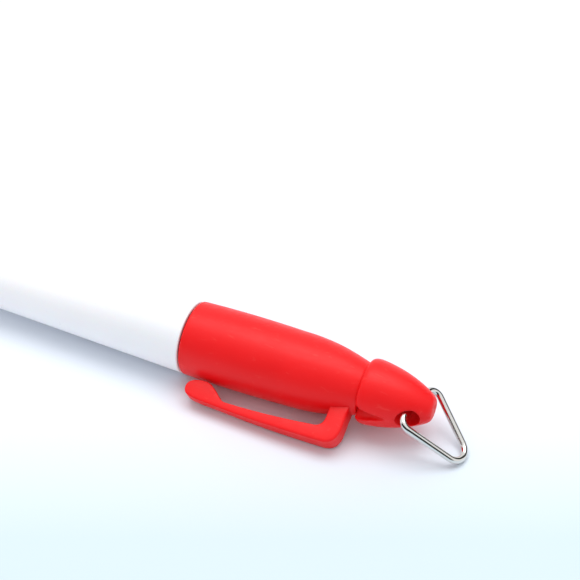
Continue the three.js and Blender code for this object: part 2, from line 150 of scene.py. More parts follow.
# %% Colour and node helpers
def linear(hex_colour):
    """An sRGB hex colour such as F01016 as linear red, green, blue and alpha."""
    channels = [int(hex_colour[i:i + 2], 16) / 255 for i in (0, 2, 4)]
    return (*[c / 12.92 if c <= 0.04045 else ((c + 0.055) / 1.055) ** 2.4 for c in channels], 1)


def add_node(tree, kind, links=None, **settings):
    """Adds a node. Links fill its inputs, with sockets or plain values; settings are its fields."""
    node = tree.nodes.new(kind)
    for field, value in settings.items():
        setattr(node, field, value)
    for key, value in (links or {}).items():
        if isinstance(value, bpy.types.NodeSocket):
            tree.links.new(value, node.inputs[key])
        else:
            node.inputs[key].default_value = value
    return node


def grain(millimetres):
    """The noise scale whose blotches are about this many millimetres across."""
    return 1 / (millimetres * MM)


def noise(tree, place, millimetres, **values):
    """A noise texture in blotches of this size; values such as Detail are set on its sockets."""
    inputs = {"Vector": place, "Scale": grain(millimetres), **values}
    return add_node(tree, "ShaderNodeTexNoise", inputs)


def blend(tree, share, first, second):
    """A colour between two colours, each a hex value or a socket."""
    colours = [linear(c) if isinstance(c, str) else c for c in (first, second)]
    inputs = {0: share, 6: colours[0], 7: colours[1]}
    return add_node(tree, "ShaderNodeMix", inputs, data_type="RGBA").outputs[2]


def spread(tree, value, **limits):
    """Maps a value to a new range; limits are the range's ends, such as To_Max."""
    inputs = {"Value": value, **{key.replace("_", " "): limit for key, limit in limits.items()}}
    return add_node(tree, "ShaderNodeMapRange", inputs).outputs["Result"]


def relief(tree, height, strength, millimetres):
    """A bump of this depth for the shader's normal."""
    inputs = {"Height": height, "Strength": strength, "Distance": millimetres * MM}
    return add_node(tree, "ShaderNodeBump", inputs).outputs["Normal"]


def wire_up(tree, shader, colour, roughness=None, normal=None):
    """Links the worked-out colour, roughness and normal to the shader."""
    sockets = {"Base Color": colour, "Roughness": roughness, "Normal": normal}
    for name, socket in sockets.items():
        if socket is not None:
            tree.links.new(socket, shader.inputs[name])


def finish_named(name, ior, **values):
    """A new material with its Principled shader; values are set on the shader's own sockets."""
    material = bpy.data.materials.new(name)
    material.use_nodes = True
    shader = material.node_tree.nodes["Principled BSDF"]
    shader.inputs["IOR"].default_value = ior
    for socket, value in values.items():
        shader.inputs[socket.replace("_", " ")].default_value = value
    return material, material.node_tree, shader


# %% [markdown]
# ### Satin moulded polyethylene, red
# The cap, clip and collar are injection moulded from coloured polyethylene. The steel mould is
# lightly blasted, so the surface is satin: highlights are broad, with a very fine grain inside
# them. The colour goes all the way through and light enters it a little, which softens the
# shadows. A few handling marks are paler and rougher than the rest.

# %% Red polyethylene
LIGHT_DEPTH = 1.2 * MM
LIGHT_REACH = (1.0, 0.12, 0.08)
FLOW_SIZE = 7
SCUFF_SIZE = 0.9
SCUFF_STRETCH = (0.35, 1.0, 1.0)
SCUFF_STRENGTH = 0.24
BLAST_SIZE = 0.16
BLAST_DEPTH = 0.006


def satin_red(name, light, deep, scuffed, roughness):
    material, tree, shader = finish_named(
        name, ior=1.51, Subsurface_Weight=0.35, Subsurface_Scale=LIGHT_DEPTH,
        Specular_IOR_Level=0.27,
    )
    shader.inputs["Subsurface Radius"].default_value = LIGHT_REACH
    place = add_node(tree, "ShaderNodeTexCoord").outputs["Object"]
    flow = noise(tree, place, FLOW_SIZE, Detail=2.0).outputs["Fac"]
    stretched = add_node(tree, "ShaderNodeMapping", {"Vector": place, "Scale": SCUFF_STRETCH})
    scuffs = noise(
        tree, stretched.outputs["Vector"], SCUFF_SIZE, Detail=5.0, Distortion=0.6
    ).outputs["Fac"]
    marks = spread(tree, scuffs, From_Min=0.62, From_Max=0.78, To_Max=SCUFF_STRENGTH)
    gloss = spread(
        tree, scuffs, From_Min=0.3, From_Max=0.8, To_Min=roughness - 0.05, To_Max=roughness + 0.1
    )
    blasted = noise(tree, place, BLAST_SIZE, Detail=3.0).outputs["Fac"]
    wire_up(
        tree, shader, blend(tree, marks, blend(tree, flow, deep, light), scuffed), gloss,
        relief(tree, blasted, strength=0.5, millimetres=BLAST_DEPTH),
    )
    return material


cap_finish = satin_red(
    "moulded_polyethylene_red", light="F01016", deep="EA0C12", scuffed="FF6A62", roughness=0.4
)
print("made", cap_finish.name)

# %% [markdown]
# ### Glossy moulded polypropylene
# The section comes out of a polished mould, so its highlights are sharp. The barrel is white
# polypropylene with a softer shine. Both show the faint waviness of a thin moulded wall, which a
# low bump with large blotches gives. The hidden inner cap and film are made the same way.

# %% Glossy red and white polypropylene
THIN_WALL_DEPTH = 0.6 * MM
TINT_SIZE = 9
HAZE_SIZE = 1.5
HAZE = 0.06


def moulded(name, light, deep, roughness, ripple, wave_height):
    material, tree, shader = finish_named(
        name, ior=1.49, Subsurface_Weight=0.08, Subsurface_Scale=THIN_WALL_DEPTH
    )
    place = add_node(tree, "ShaderNodeTexCoord").outputs["Object"]
    flow = noise(tree, place, TINT_SIZE, Detail=2.0).outputs["Fac"]
    haze = noise(tree, place, HAZE_SIZE, Detail=4.0).outputs["Fac"]
    waves = noise(tree, place, ripple, Detail=1.0).outputs["Fac"]
    wire_up(
        tree, shader, blend(tree, flow, deep, light),
        spread(tree, haze, To_Min=roughness - HAZE, To_Max=roughness + HAZE),
        relief(tree, waves, strength=0.6, millimetres=wave_height),
    )
    return material


section_finish = moulded(
    "moulded_polypropylene_red", light="D81A22", deep="C8101A",
    roughness=0.16, ripple=2.5, wave_height=0.02,
)
barrel_finish = moulded(
    "moulded_polypropylene_white", light="F6F6F9", deep="F1F1F6",
    roughness=0.3, ripple=3.0, wave_height=0.01,
)
inner_cap_finish = moulded(
    "natural_polyethylene", light="F2EFE8", deep="E9E5DC",
    roughness=0.4, ripple=1.5, wave_height=0.01,
)
film_finish = moulded(
    "clear_film", light="F4F1EC", deep="ECE7E0", roughness=0.22, ripple=1.0, wave_height=0.02
)
print("made", section_finish.name, barrel_finish.name, inner_cap_finish.name, film_finish.name)

# %% [markdown]
# ### Felt soaked with ink
# A bullet nib is a rod of acrylic fibres, bonded and ground to a point. Its surface is matt and
# shows short streaks along the rod where the grinding cut through fibres. Real fibres are about
# 0.02 mm thick, too thin to show, so the streaks here are 0.12 mm wide.

# %% Nib and reservoir fibre
STREAK_STRETCH = (0.12, 1.0, 1.0)
STREAK_DEPTH = 0.06


def fibre(name, pale, dark, streak):
    material, tree, shader = finish_named(
        name, ior=1.49, Roughness=0.92, Sheen_Weight=0.25, Sheen_Roughness=0.5
    )
    place = add_node(tree, "ShaderNodeTexCoord").outputs["Object"]
    along = add_node(tree, "ShaderNodeMapping", {"Vector": place, "Scale": STREAK_STRETCH})
    strands = noise(tree, along.outputs["Vector"], streak, Detail=4.0, Roughness=0.7).outputs["Fac"]
    shade = spread(tree, strands, From_Min=0.3, From_Max=0.75)
    wire_up(
        tree, shader, blend(tree, shade, dark, pale),
        normal=relief(tree, strands, strength=0.8, millimetres=STREAK_DEPTH),
    )
    return material


nib_finish = fibre("felt_soaked_with_ink", pale="6E1220", dark="2A060C", streak=0.12)
core_finish = fibre("fibre_bundle", pale="A02028", dark="7A1018", streak=0.2)
print("made", nib_finish.name, core_finish.name)

# %% [markdown]
# ### Nickel-plated wire
# The ring is cut from drawn steel wire, bent and then plated with bright nickel. It mirrors the
# white studio and the red collar, and nickel itself is slightly warm. Plating on wire is never
# perfect, so the roughness varies a little and a low bump breaks the long reflections.

# %% Nickel plate
PLATING_SIZE = 0.8
PLATING_DEPTH = 0.012

nickel_finish, nickel_tree, nickel = finish_named("bright_nickel_plate", ior=1.5, Metallic=1.0)
nickel_place = add_node(nickel_tree, "ShaderNodeTexCoord").outputs["Object"]
plating = noise(nickel_tree, nickel_place, PLATING_SIZE, Detail=4.0).outputs["Fac"]
wire_up(
    nickel_tree, nickel, blend(nickel_tree, plating, "D2D1CE", "E2E1DE"),
    spread(nickel_tree, plating, To_Min=0.05, To_Max=0.13),
    relief(nickel_tree, plating, strength=0.4, millimetres=PLATING_DEPTH),
)
print("made", nickel_finish.name)

# %% [markdown]
# ## The barrel
# The barrel is one moulded tube with a closed, slightly smaller tail, so that it slides off the
# core of its mould. It is turned as a full wall: outside, mouth, socket and ink chamber. Turning
# a drawn half section is how a lathe or a mould maker sees it, and it gives an even, smooth
# surface.

# %% Barrel
BARREL_LENGTH = 54
BARREL_MOUTH = 6.5
BARREL_TAIL = 4.64
BARREL_WALL = 1.15
BARREL_FLOOR = 2.2
SOCKET_DEPTH = 12
SOCKET_RADIUS = 5.7
TAIL_ROUNDING = 0.9
LIP_ROUNDING = 0.3
LIP_INNER_ROUNDING = 0.15
CHAMBER_ROUNDING = 0.4


def barrel_radius(x):
    return BARREL_TAIL + (BARREL_MOUTH - BARREL_TAIL) * x / BARREL_LENGTH


socket_floor = BARREL_LENGTH - SOCKET_DEPTH
barrel_bm = turned([
    (0, 0, 0),
    (0, BARREL_TAIL, TAIL_ROUNDING),
    (BARREL_LENGTH, BARREL_MOUTH, LIP_ROUNDING),
    (BARREL_LENGTH, SOCKET_RADIUS, LIP_INNER_ROUNDING),
    (socket_floor, SOCKET_RADIUS, 0),
    (socket_floor, barrel_radius(socket_floor) - BARREL_WALL, 0),
    (BARREL_FLOOR, barrel_radius(BARREL_FLOOR) - BARREL_WALL, CHAMBER_ROUNDING),
    (BARREL_FLOOR, 0, 0),
])
keep(as_object(barrel_bm, "barrel_tube"), "pen", "barrel", barrel_finish)

# %% [markdown]
# ## The ink reservoir
# Inside the barrel a bundle of fibres holds the ink like a sponge, wrapped in a thin film that
# keeps it together. Neither shows while the marker is whole. The bundle has a bore at its front
# for the nib.

# %% Reservoir
RESERVOIR_REAR = 2.5
RESERVOIR_FRONT = 67
FILM_RADIUS = 3.36
FILM_INNER = 3.16
CORE_RADIUS = 3.06
NIB_BORE = 1.95
NIB_REAR = 59
NIB_END_ROOM = 0.3
CORE_ROUNDING = 0.2

core_bm = turned([
    (RESERVOIR_REAR, 0, 0),
    (RESERVOIR_REAR, CORE_RADIUS, CORE_ROUNDING),
    (RESERVOIR_FRONT, CORE_RADIUS, CORE_ROUNDING),
    (RESERVOIR_FRONT, NIB_BORE, 0),
    (NIB_REAR - NIB_END_ROOM, NIB_BORE, 0),
    (NIB_REAR - NIB_END_ROOM, 0, 0),
])
keep(as_object(core_bm, "reservoir_bundle"), "pen", "reservoir_core", core_finish)
film_bm = turned([
    (RESERVOIR_REAR, FILM_INNER, 0),
    (RESERVOIR_REAR, FILM_RADIUS, 0),
    (RESERVOIR_FRONT, FILM_RADIUS, 0),
    (RESERVOIR_FRONT, FILM_INNER, 0),
    (RESERVOIR_REAR, FILM_INNER, 0),
])
keep(as_object(film_bm, "reservoir_wrap"), "pen", "reservoir_film", film_finish)

# %% [markdown]
# ## The section
# The section is pressed into the barrel and is what fingers hold. It has a straight body, a domed
# shoulder and a nozzle for the nib. Where the shoulder begins the mould's two halves meet, which
# leaves a fine ring. The small nub where the plastic flowed in is on the CAD model only.

# %% Section
MOUTH = BARREL_LENGTH
SECTION_RADIUS = 5.5
SECTION_BORE = 4.4
SECTION_BODY_LENGTH = 15.8
SHOULDER_LENGTH = 4.6
NOZZLE_LENGTH = 6
NOZZLE_RADIUS = 2.95
PLUG_ROOM = 0.3
PLUG_ROUNDING = 0.3
PARTING_STEP = 0.05
PARTING_ROUNDING = 0.04
NOZZLE_ROOT_ROUNDING = 0.2
NOZZLE_ROUNDING = 0.5
NOZZLE_LIP_ROUNDING = 0.1
SHOULDER_START = MOUTH + SECTION_BODY_LENGTH
NOZZLE_START = SHOULDER_START + SHOULDER_LENGTH
NOZZLE_END = NOZZLE_START + NOZZLE_LENGTH
PLUG_END = MOUTH - SOCKET_DEPTH + PLUG_ROOM

section_bm = turned([
    (PLUG_END, SECTION_BORE, 0),
    (PLUG_END, SECTION_RADIUS, PLUG_ROUNDING),
    (SHOULDER_START, SECTION_RADIUS, PARTING_ROUNDING),
    *bend_line(
        (SHOULDER_START, SECTION_RADIUS - PARTING_STEP), (SHOULDER_START + 1.9, 5.45),
        (NOZZLE_START - 1.3, 4.02), (NOZZLE_START, NOZZLE_RADIUS), steps=20,
    ),
    (NOZZLE_START, NOZZLE_RADIUS, NOZZLE_ROOT_ROUNDING),
    (NOZZLE_END, NOZZLE_RADIUS, NOZZLE_ROUNDING),
    (NOZZLE_END, NIB_BORE, NOZZLE_LIP_ROUNDING),
    (NOZZLE_START, NIB_BORE, 0),
    (SHOULDER_START, SECTION_BORE, 0),
    (PLUG_END, SECTION_BORE, 0),
])
keep(as_object(section_bm, "section_grip"), "pen", "section", section_finish)

# %% [markdown]
# ## The nib
# The nib is a rod of pressed fibre with a bullet point. It is turned from a half section whose
# front is one smooth bend.

# %% Nib
NIB_RADIUS = 1.8
NIB_STRAIGHT_LENGTH = 3.5
NIB_TAPER_LENGTH = 3.3
NIB_TAPER_START = NOZZLE_END + NIB_STRAIGHT_LENGTH
NIB_TIP = NIB_TAPER_START + NIB_TAPER_LENGTH
NIB_REAR_ROUNDING = 0.15
NIB_ROUND_STEPS = 64

nib_bm = turned([
    (NIB_REAR, 0, 0),
    (NIB_REAR, NIB_RADIUS, NIB_REAR_ROUNDING),
    *bend_line(
        (NIB_TAPER_START, NIB_RADIUS), (NIB_TAPER_START + 1.65, 1.62),
        (NIB_TIP, 0.99), (NIB_TIP, 0), steps=24,
    ),
    (NIB_TIP, 0, 0),
], NIB_ROUND_STEPS)
keep(as_object(nib_bm, "nib_bullet"), "pen", "nib", nib_finish)

# %% [markdown]
# ## The cap
# The cap's outside swells a little behind the mouth and then tapers to the end that carries the
# collar. Its inside is a bore for the section, a seat for the inner cap and room for the nib's
# point. The neck at its end has a bead that the collar snaps over.

# %% Cap
CAP_LENGTH = 31.9
CAP_END = MOUTH + CAP_LENGTH
CAP_MOUTH_RADIUS = 6.55
CAP_TAPER_START = MOUTH + 19
CAP_TAPER_RADIUS = 6.52
CAP_END_RADIUS = 4.45
BULGE = 0.22
CAP_BORE = 5.75
CAP_REAR = MOUTH + 0.3
SEAT_RADIUS = 4.15
SEAT_END = NOZZLE_START + 8.65
CAP_LIP_ROUNDING = 0.3
CAP_LIP_INNER_ROUNDING = 0.15
CAP_END_ROUNDING = 0.12
POINT_ROOM_RADIUS = 2.1
POINT_ROOM_END = MOUTH + 31.7
POINT_ROOM_TIP = MOUTH + 33.8
NECK_RADIUS = 3.1
NECK_END = CAP_END + 5.3
NECK_END_RADIUS = 2.75
BEAD_RADIUS = 3.6
BEAD_START = CAP_END + 2.7
BEAD_END = CAP_END + 3.7
BEAD_ROUNDING = 0.1
BEAD_END_ROUNDING = 0.2

cap_bm = turned([
    (POINT_ROOM_TIP, 0, 0),
    (MOUTH + 33.2, 1.3, 0),
    (POINT_ROOM_END, POINT_ROOM_RADIUS, 0),
    (SEAT_END, POINT_ROOM_RADIUS, 0),
    (SEAT_END, SEAT_RADIUS, 0),
    (NOZZLE_START, SEAT_RADIUS, 0),
    (SHOULDER_START + 2.3, CAP_BORE, 0),
    (CAP_REAR, CAP_BORE, CAP_LIP_INNER_ROUNDING),
    (CAP_REAR, CAP_MOUTH_RADIUS, CAP_LIP_ROUNDING),
    *bend_line(
        (MOUTH + 0.8, CAP_MOUTH_RADIUS + 0.01), (MOUTH + 6.5, CAP_MOUTH_RADIUS + BULGE),
        (MOUTH + 12.9, CAP_TAPER_RADIUS + BULGE), (CAP_TAPER_START, CAP_TAPER_RADIUS), steps=16,
    ),
    *bend_line(
        (CAP_TAPER_START, CAP_TAPER_RADIUS), (CAP_TAPER_START + 5.93, CAP_TAPER_RADIUS),
        (CAP_TAPER_START + 9.03, 5.61), (CAP_END, CAP_END_RADIUS), steps=24,
    ),
    (CAP_END, CAP_END_RADIUS, CAP_END_ROUNDING),
    (CAP_END, NECK_RADIUS, 0),
    (BEAD_START, NECK_RADIUS, 0),
    (BEAD_START, BEAD_RADIUS, BEAD_ROUNDING),
    (BEAD_END, BEAD_RADIUS, BEAD_END_ROUNDING),
    (NECK_END, NECK_END_RADIUS, 0),
    (NECK_END, 0, 0),
])
keep(as_object(cap_bm, "cap_moulding"), "cap", "cap_shell", cap_finish)

# %% [markdown]
# ## The inner cap
# A soft sleeve inside the cap seals round the nozzle so that the ink doesn't dry. Its mouth is
# chamfered to guide the nozzle in.

# %% Inner cap
SLEEVE_REAR = NOZZLE_START + 0.55
SLEEVE_LENGTH = 7.8
SLEEVE_FRONT = SLEEVE_REAR + SLEEVE_LENGTH
SLEEVE_RADIUS = 3.95
SLEEVE_BORE = 3.15
SLEEVE_CHAMFER = 0.35
SLEEVE_ROUNDING = 0.1
SLEEVE_FRONT_ROUNDING = 0.3
STOP_LENGTH = 1.8
STOP_BORE = 2.3

sleeve_bm = turned([
    (SLEEVE_REAR, SLEEVE_BORE + SLEEVE_CHAMFER, 0),
    (SLEEVE_REAR + SLEEVE_CHAMFER, SLEEVE_BORE, 0),
    (SLEEVE_FRONT - STOP_LENGTH, SLEEVE_BORE, 0),
    (SLEEVE_FRONT - STOP_LENGTH, STOP_BORE, SLEEVE_ROUNDING),
    (SLEEVE_FRONT, STOP_BORE, SLEEVE_ROUNDING),
    (SLEEVE_FRONT, SLEEVE_RADIUS, SLEEVE_FRONT_ROUNDING),
    (SLEEVE_REAR, SLEEVE_RADIUS, SLEEVE_ROUNDING),
    (SLEEVE_REAR, SLEEVE_BORE + SLEEVE_CHAMFER, 0),
])
sleeve = as_object(sleeve_bm, "inner_cap_sleeve")
keep(sleeve, "cap", "inner_cap", inner_cap_finish)

# %% [markdown]
# ## The clip
# The clip grows out of the cap's shoulder as a post, turns a rounded corner into a long bowed bar
# and ends in a paddle that presses on the pocket. It is drawn from the side as two lines, outer
# and inner. Its edges are fairly crisp, with twice the rounding outside that they have inside, so
# the form is lofted: the side view is repeated at several depths, drawn in a little towards each
# side, and the repeats are bridged. The foot runs into the cap's wall, because the real clip and
# cap are one moulding.

# %% The clip's side view
POST_FRONT = 30.95
POST_REAR = 27.8
BAR_OUTER = 11.22
BAR_INNER = 9.68
ROOT_INNER = 8.85
PADDLE_TIP = 2.6
PADDLE_END = 9.1
PADDLE_OUTER = 10.68
PADDLE_INNER = 7.15
PADDLE_WAIST = (PADDLE_OUTER + PADDLE_INNER) / 2
PADDLE_LOWEST = 5.85
PADDLE_SHOULDER = 10.86
PADDLE_NECK = 10.2
OUTER_CORNER_START = 8.3
OUTER_CORNER_END = 28.2
INNER_CORNER_START = 6.9
INNER_CORNER_END = 26
FOOT = 4.3

outer_line = [
    *bend_line(
        (POST_FRONT, FOOT), (POST_FRONT, 6), (POST_FRONT, 7), (POST_FRONT, OUTER_CORNER_START),
        steps=4,
    ),
    *bend_line(
        (POST_FRONT, OUTER_CORNER_START), (POST_FRONT, 10.1),
        (30.0, BAR_OUTER), (OUTER_CORNER_END, BAR_OUTER), steps=10,
    ),
    *bend_line(
        (OUTER_CORNER_END, BAR_OUTER), (22, 11.34),
        (15.5, 11.3), (PADDLE_END, PADDLE_SHOULDER), steps=18,
    ),
    *bend_line(
        (PADDLE_END, PADDLE_SHOULDER), (4.2, PADDLE_OUTER),
        (PADDLE_TIP, PADDLE_OUTER), (PADDLE_TIP, PADDLE_WAIST), steps=16,
    ),
    (PADDLE_TIP, PADDLE_WAIST, 0),
]
inner_line = [
    *bend_line(
        (POST_REAR, FOOT), (POST_REAR, 5), (POST_REAR, 6), (POST_REAR, INNER_CORNER_START),
        steps=4,
    ),
    *bend_line(
        (POST_REAR, INNER_CORNER_START), (POST_REAR, 8.1),
        (27.2, ROOT_INNER), (INNER_CORNER_END, ROOT_INNER), steps=10,
    ),
    *bend_line(
        (INNER_CORNER_END, ROOT_INNER), (21, 9.4),
        (15.7, BAR_INNER), (PADDLE_NECK, BAR_INNER), steps=18,
    ),
    *bend_line(
        (PADDLE_NECK, BAR_INNER), (PADDLE_END, BAR_INNER),
        (7.5, PADDLE_INNER), (PADDLE_LOWEST, PADDLE_INNER), steps=8,
    ),
    *bend_line(
        (PADDLE_LOWEST, PADDLE_INNER), (3.7, PADDLE_INNER),
        (PADDLE_TIP, 7.9), (PADDLE_TIP, PADDLE_WAIST), steps=8,
    ),
    (PADDLE_TIP, PADDLE_WAIST, 0),
]
print("points along the clip:", len(outer_line), "outside,", len(inner_line), "inside")

# %% Clip
CLIP_TURN = math.radians(206)
CLIP_WIDTH = 4.0
PADDLE_WIDTH = 2.4
OUTER_EDGE = 0.4
INNER_EDGE = 0.2
EDGE_DEPTH = 0.4
EDGE_STEPS = 5
OUTWARD_START = 0.6
OUTWARD_RANGE = 1.2

around = [Vector((x, y, 0)) for x, y, _ in outer_line[::-1] + inner_line]
drawn_in = []
for index in range(len(around)):
    before = around[max(index - 1, 0)]
    after = around[min(index + 1, len(around) - 1)]
    if index in (0, len(around) - 1):
        before, after = around[-2], around[1]
    along = (after - before).normalized()
    outward = Vector((-along.y, along.x, 0))
    rounded = min(max((outward.x + outward.y + OUTWARD_START) / OUTWARD_RANGE, 0), 1)
    drawn_in.append(-outward * (INNER_EDGE + (OUTER_EDGE - INNER_EDGE) * rounded))

clip_bm = bmesh.new()
quarter = [math.pi / 2 * step / EDGE_STEPS for step in range(EDGE_STEPS + 1)]
depths = [(1 - math.sin(a), CLIP_WIDTH / 2 - EDGE_DEPTH * (1 - math.cos(a))) for a in quarter]
levels = []
for share, depth in [(share, -depth) for share, depth in depths] + depths[::-1]:
    sideways = Vector((0, 0, depth))
    verts = [clip_bm.verts.new(p + d * share + sideways) for p, d in zip(around, drawn_in)]
    levels.append([clip_bm.edges.new(pair) for pair in zip(verts, verts[1:])])
for level, next_level in zip(levels, levels[1:]):
    bmesh.ops.bridge_loops(clip_bm, edges=level + next_level)
foot_edge = len(outer_line) - 1
for level in (levels[0], levels[-1]):
    bmesh.ops.bridge_loops(clip_bm, edges=level[:foot_edge] + level[foot_edge + 1:])
bmesh.ops.remove_doubles(clip_bm, verts=clip_bm.verts, dist=MERGE_DISTANCE)
bmesh.ops.recalc_face_normals(clip_bm, faces=clip_bm.faces)
for vert in clip_bm.verts:
    share = min(max((vert.co.x - PADDLE_LOWEST) / (POST_FRONT - PADDLE_LOWEST), 0), 1)
    share = share * share * (3 - 2 * share)
    vert.co.z *= (PADDLE_WIDTH + (CLIP_WIDTH - PADDLE_WIDTH) * share) / CLIP_WIDTH
print("open edges of the clip:", sum(e.is_boundary for e in clip_bm.edges))
turn_clip = Matrix.Rotation(CLIP_TURN, 3, "X")
bmesh.ops.rotate(clip_bm, cent=(0, 0, 0), matrix=turn_clip, verts=clip_bm.verts)
bmesh.ops.translate(clip_bm, vec=(MOUTH, 0, 0), verts=clip_bm.verts)
keep(as_object(clip_bm, "clip_moulding"), "clip", "pocket_clip", cap_finish)

# %% [markdown]
# ## The collar
# The collar is a rounded cone that snaps on the cap's neck and turns on it. A hole crosses it for
# the wire ring, and two pointed notches let its rim give when it is pushed on. The hole and the
# notches are cut from the turned body with booleans. A voxel remesh then makes one even skin, and
# smoothing that skin rounds every edge as a mould does. The rim reaches further back than the CAD
# model's, which leaves a narrower seam to the cap.

# %% Collar
COLLAR_START = CAP_END + 0.3
COLLAR_LENGTH = 11.8
COLLAR_RIM = 5.62
COLLAR_TURN = math.radians(3)
HOLE_RADIUS = 1.9
HOLE_SETBACK = 3.4
HOLE_PLACE = COLLAR_START + COLLAR_LENGTH - HOLE_SETBACK
HOLE_CUT = 14
CUTTER_SIDES = 48
NOTCH_RADIUS = 1.6
NOTCH_LENGTH = 5.8
NOTCH_AXIS = 5.1
SNAP_MOUTH = 3.4
SNAP_LEDGE = 2.1
SNAP_POCKET = 3.9
SNAP_POCKET_END = 4.7
SNAP_FLOOR = 5.3
SNAP_FLOOR_RADIUS = 3.1
COLLAR_WIDEST = 1.2
TIP_START = 11.15
TIP_START_RADIUS = 2.4
TIP_RADIUS = 1.3
VOXEL = 0.1
SEAM = 0.24
SMOOTH_PASSES = 5
SMOOTH_SHARE = 0.5


def collar_point(x):
    return COLLAR_START + x


collar_bm = turned([
    (collar_point(SNAP_FLOOR), 0, 0),
    (collar_point(SNAP_FLOOR), SNAP_FLOOR_RADIUS, 0),
    (collar_point(SNAP_POCKET_END), SNAP_POCKET, 0),
    (collar_point(SNAP_LEDGE), SNAP_POCKET, 0),
    (collar_point(SNAP_LEDGE), SNAP_MOUTH, 0),
    (collar_point(-SEAM), SNAP_MOUTH, 0),
    *bend_line(
        (collar_point(-SEAM), 4.9), (collar_point(-SEAM), 5.46), (collar_point(0.4), COLLAR_RIM),
        (collar_point(COLLAR_WIDEST), COLLAR_RIM), steps=6,
    ),
    *bend_line(
        (collar_point(COLLAR_WIDEST), COLLAR_RIM), (collar_point(5), 5.32),
        (collar_point(8.85), 3.95), (collar_point(TIP_START), TIP_START_RADIUS), steps=24,
    ),
    *bend_line(
        (collar_point(TIP_START), TIP_START_RADIUS), (collar_point(11.6), 2.05),
        (collar_point(COLLAR_LENGTH), 1.7), (collar_point(COLLAR_LENGTH), TIP_RADIUS), steps=6,
    ),
    (collar_point(COLLAR_LENGTH), TIP_RADIUS, 0),
    (collar_point(COLLAR_LENGTH), 0, 0),
])
collar = as_object(collar_bm, "collar_moulding")


def cutter(bm, name):
    """A hidden shape that a boolean takes away from the collar."""
    made = as_object(bm, name)
    subtract = collar.modifiers.new(name, "BOOLEAN")
    subtract.operation = "DIFFERENCE"
    subtract.solver = "EXACT"
    subtract.object = made
    return made


hole_bm = bmesh.new()
bmesh.ops.create_cone(
    hole_bm, cap_ends=True, segments=CUTTER_SIDES,
    radius1=HOLE_RADIUS, radius2=HOLE_RADIUS, depth=HOLE_CUT,
    matrix=Matrix.Translation((HOLE_PLACE, 0, 0)) @ Matrix.Rotation(math.pi / 2, 4, "X"),
)
cutters = [cutter(hole_bm, "hole_cutter")]
for side_sign in (-1, 1):
    notch_bm = bmesh.new()
    bmesh.ops.create_cone(
        notch_bm, cap_ends=True, segments=CUTTER_SIDES,
        radius1=NOTCH_RADIUS, radius2=0, depth=NOTCH_LENGTH,
        matrix=Matrix.Translation(
            (COLLAR_START - SEAM + NOTCH_LENGTH / 2, side_sign * NOTCH_AXIS, 0)
        ) @ Matrix.Rotation(math.pi / 2, 4, "Y"),
    )
    cutters.append(cutter(notch_bm, f"notch_cutter_{side_sign + 1}"))
skin = collar.modifiers.new("skin", "REMESH")
skin.mode = "VOXEL"
skin.voxel_size = VOXEL * MM
smooth = collar.modifiers.new("smooth", "SMOOTH")
smooth.iterations = SMOOTH_PASSES
smooth.factor = SMOOTH_SHARE
finished = collar.evaluated_get(bpy.context.evaluated_depsgraph_get())
collar.data = bpy.data.meshes.new_from_object(finished)
collar.modifiers.clear()
for made in cutters:
    bpy.data.objects.remove(made)
collar.data.transform(Matrix.Rotation(COLLAR_TURN, 4, "X"))
collar.data.shade_smooth()
keep(collar, "collar", "ring_collar", cap_finish)

# %% [markdown]
# ## The wire ring
# A wire bender makes this ring: straight runs with a bend between each. The mesh is made the same
# way. A circle of the wire's thickness is pushed along each straight run and spun round the
# centre of each bend, until it comes back to the middle of the base, where the two ends face each
# other across a small gap inside the collar.

# %% Wire ring
WIRE_RADIUS = 0.6
RING_BASE = 12.15
RING_HEIGHT = 16.1
CORNER_BEND = 1.6
APEX_BEND = 2.45
BEND_STEPS = 12
APEX_STEPS = 16
JOINT_GAP = 0.3
WIRE_SIDES = 24
RING_SKEW = -11.6
RING_DIP = -6.5
RING_SWING = 34.1
RING_PLAY_FORWARD = 0.3
RING_PLAY_UP = 0.37
RING_PLACE = (HOLE_PLACE + RING_PLAY_FORWARD, 0, RING_PLAY_UP)

ring_bm = bmesh.new()
section_circle = bmesh.ops.create_circle(
    ring_bm, cap_ends=False, segments=WIRE_SIDES, radius=WIRE_RADIUS,
    matrix=Matrix.Rotation(math.pi / 2, 4, "X"),
)
bmesh.ops.translate(ring_bm, vec=(0, JOINT_GAP / 2, 0), verts=section_circle["verts"])
front = list({e for v in section_circle["verts"] for e in v.link_edges})


def run(edges, step):
    """Pushes the wire's open end along a straight run."""
    made = bmesh.ops.extrude_edge_only(ring_bm, edges=edges)["geom"]
    verts = [g for g in made if isinstance(g, bmesh.types.BMVert)]
    bmesh.ops.translate(ring_bm, vec=step, verts=verts)
    edges_made = [g for g in made if isinstance(g, bmesh.types.BMEdge)]
    return [edge for edge in edges_made if all(v in verts for v in edge.verts)]


def turn(edges, centre, angle, steps=BEND_STEPS):
    """Spins the wire's open end round the centre of a bend."""
    verts = list({v for e in edges for v in e.verts})
    made = bmesh.ops.spin(
        ring_bm, geom=verts + edges, cent=centre, axis=(0, 0, 1), dvec=(0, 0, 0),
        angle=angle, steps=steps,
    )["geom_last"]
    return [g for g in made if isinstance(g, bmesh.types.BMEdge)]


leg = math.hypot(RING_HEIGHT, RING_BASE / 2)
leg_angle = math.atan2(RING_BASE / 2, RING_HEIGHT)
corner_turn = math.pi / 2 + leg_angle
apex_turn = math.pi - 2 * leg_angle
corner_trim = CORNER_BEND * math.tan(corner_turn / 2)
apex_trim = APEX_BEND * math.tan(apex_turn / 2)
half_base = RING_BASE / 2 - corner_trim - JOINT_GAP / 2
leg_run = leg - corner_trim - apex_trim
down_leg = Vector((math.cos(leg_angle), -math.sin(leg_angle), 0))
up_leg = Vector((-math.cos(leg_angle), -math.sin(leg_angle), 0))

